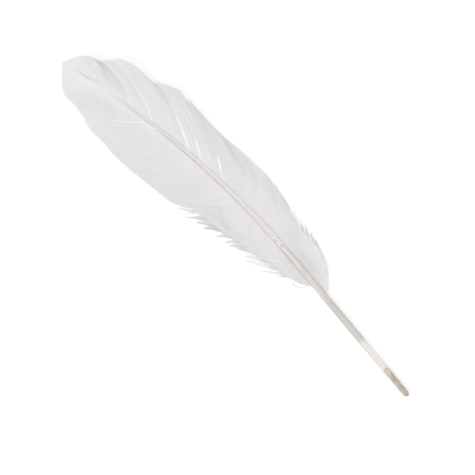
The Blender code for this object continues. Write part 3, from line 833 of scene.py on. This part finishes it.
def rachis_material():
    """Cream horn with fine lengthwise streaks, and tan spots where the vane begins."""
    made, tree, shader = new_material("rachis_horn", (0.80, 0.76, 0.68), 0.34)
    run, girth = attribute(tree, "run"), attribute(tree, "girth")
    streak = long_streaks(tree, run, girth, run_scale=14.0, girth_scale=60.0, detail=4.0)
    horn = ramp(tree, run, (0.0, (0.75, 0.72, 0.69)), (0.05, (0.77, 0.74, 0.72)),
                (0.12, (0.73, 0.695, 0.67)), (0.3, (0.73, 0.70, 0.68)), (0.6, (0.73, 0.70, 0.69)),
                (0.82, (0.77, 0.75, 0.74)), (0.92, (0.86, 0.845, 0.86)), (1.0, (0.89, 0.87, 0.89)))
    blotch = mapped(tree, grain(tree, own_place(tree), 330.0, 5.0), 0.52, 0.66)
    spots = product(tree, blotch, mapped(tree, run, 0.0, 0.09, 0.9, 0.0))
    stained = mixed(tree, spots, horn, (0.50, 0.40, 0.24, 1))
    shades = ramp(tree, streak, (0.3, (0.86, 0.84, 0.80)), (0.7, (1.0, 1.0, 1.0)))
    feed(tree, shader, {
        "Base Color": mixed(tree, 0.5, stained, shades, "MULTIPLY"),
        "Normal": bumped(tree, streak, 0.25, 0.00005), "Coat Weight": 0.2, "Coat Roughness": 0.3,
    })
    return made


def rachis_section(count):
    """Unit cross section: flat sided, round below, with a groove along the top."""
    turns = np.linspace(0, math.tau, count, endpoint=False) + math.pi / 2
    x, y = np.cos(turns), np.sin(turns)
    across = np.sign(x) * np.abs(x) ** 0.75
    up = np.sign(y) * np.abs(y) ** 0.8 * np.where(y > 0, 0.72, 1.09)
    groove = np.exp(-(across / GROOVE_HALF) ** 2) * (up > 0.4)
    return across, up, groove


def rachis_rings(s, across, up, half):
    """Rings of a cross section, given in half widths, at distances along the rachis."""
    z = shaft_height(s)[:, None] + up * half
    return beside(np.repeat(s[:, None], len(across), 1), across[None] * half, z)


def build_rachis():
    """The grooved shaft inside the vane."""
    s = np.linspace(RACHIS_START, RACHIS_END, RACHIS_RINGS)
    across, up, groove = rachis_section(RACHIS_SIDES)
    half = along(RACHIS_HALF, s)[:, None] * smoothstep(*RACHIS_THIN, s)[:, None] ** 0.35
    depth = GROOVE_DEPTH * smoothstep(*GROOVE_START, s)[:, None]
    rings = rachis_rings(s, across, up[None] - depth * groove[None], half)
    values = {"run": np.repeat((s - RACHIS_START) / (RACHIS_END - RACHIS_START), RACHIS_SIDES),
              "girth": np.tile(np.linspace(0, 1, RACHIS_SIDES), RACHIS_RINGS)}
    piece = new_mesh("rachis_horn_shaft", rings, loop_faces(RACHIS_RINGS, RACHIS_SIDES, False), values)
    finish_piece(piece, rachis_material(), "shaft", "rachis_cortex")


def build_rachis_core():
    """The foam inside, short of both ends of the rachis."""
    s = np.linspace(RACHIS_START, RACHIS_END, RACHIS_RINGS)[CORE_RINGS]
    across, up, _groove = (values[::3] for values in rachis_section(RACHIS_SIDES))
    half = along(RACHIS_HALF, s)[:, None]
    rings = rachis_rings(s, CORE_ACROSS * across, CORE_UP * up[None], half)
    foam = pulp_material("rachis_foam", (0.93, 0.91, 0.86), (0.84, 0.81, 0.74), 2500.0)
    piece = new_mesh("rachis_core", rings, loop_faces(len(s), len(across), False))
    finish_piece(piece, foam, "shaft", "rachis_pith")


# ---------------------------------------------------------------- stage
FLOOR_HALF = 3.0  # in metres, as the camera's and the lights' heights are
CAMERA_TURN = math.radians(137.0)
CAMERA_CENTRE = (-4.4, 13.2)  # in millimetres, as the width of the view is
CAMERA_HEIGHT = 4.0
SENSOR_WIDTH = 36.0
VIEW_WIDTH = 285.0


def build_floor():
    """Plain pale table, partly lit from below as a light table is."""
    corners = [(x * FLOOR_HALF, y * FLOOR_HALF, 0) for x, y in ((-1, -1), (1, -1), (1, 1), (-1, 1))]
    mesh = bpy.data.meshes.new("floor")
    mesh.from_pydata(corners, [], [(0, 1, 2, 3)])
    floor = bpy.data.objects.new("floor", mesh)
    bpy.context.scene.collection.objects.link(floor)
    made, tree, shader = new_material("floor", (0.36, 0.36, 0.36), 0.9)
    feed(tree, shader, {"Emission Color": (1, 1, 1, 1), "Emission Strength": 0.66,
                        "Specular IOR Level": 0.1})
    mesh.materials.append(made)


def picture_axes():
    """The picture's right and up directions in the row frame, looking straight down."""
    right = Vector((math.cos(CAMERA_TURN), -math.sin(CAMERA_TURN), 0))
    up = Vector((math.sin(CAMERA_TURN), math.cos(CAMERA_TURN), 0))
    return right, up


def build_camera():
    """Camera straight above the feather."""
    data = bpy.data.cameras.new("camera")
    data.sensor_width = SENSOR_WIDTH
    data.lens = SENSOR_WIDTH * CAMERA_HEIGHT / (VIEW_WIDTH * MM)
    data.clip_end = 50.0
    camera = bpy.data.objects.new("camera", data)
    bpy.context.scene.collection.objects.link(camera)
    right, up = picture_axes()
    turn = Matrix((right, up, Vector((0, 0, 1)))).transposed().to_4x4()
    place = Matrix.Translation((CAMERA_CENTRE[0] * MM, CAMERA_CENTRE[1] * MM, CAMERA_HEIGHT))
    camera.matrix_world = place @ turn
    bpy.context.scene.camera = camera


def soft_light(name, across, along_up, height, size, power):
    """Square area light, placed by the picture's left-right and up-down directions."""
    data = bpy.data.lights.new(name, "AREA")
    data.size = size
    data.energy = power
    light = bpy.data.objects.new(name, data)
    bpy.context.scene.collection.objects.link(light)
    right, up = picture_axes()
    light.location = right * across + up * along_up + Vector((0, 0, height))
    light.rotation_mode = "QUATERNION"
    light.rotation_quaternion = light.location.to_track_quat("Z", "Y")


def build_lights():
    soft_light("key", across=-1.1, along_up=-0.45, height=1.9, size=0.9, power=16.0)
    soft_light("fill", across=1.2, along_up=0.9, height=1.8, size=1.6, power=4.0)
    world = bpy.data.worlds.new("studio")
    world.use_nodes = True
    feed(world.node_tree, world.node_tree.nodes["Background"],
         {"Color": (1.0, 1.0, 1.0, 1.0), "Strength": 0.78})
    bpy.context.scene.world = world


def build_scene():
    bpy.context.scene.view_settings.view_transform = "Standard"
    build_floor()
    build_camera()
    build_lights()
    build_vane(NARROW, barb_material("barbs_narrow", (1.0, 0.975, 1.0)))
    build_vane(WIDE, barb_material("barbs_wide", (1.0, 0.975, 1.0)))
    build_barrel()
    build_tip_pulp()
    for index in range(1, CAP_COUNT + 1):
        build_cap(index)
    build_umbilicus()
    build_rachis()
    build_rachis_core()


build_scene()
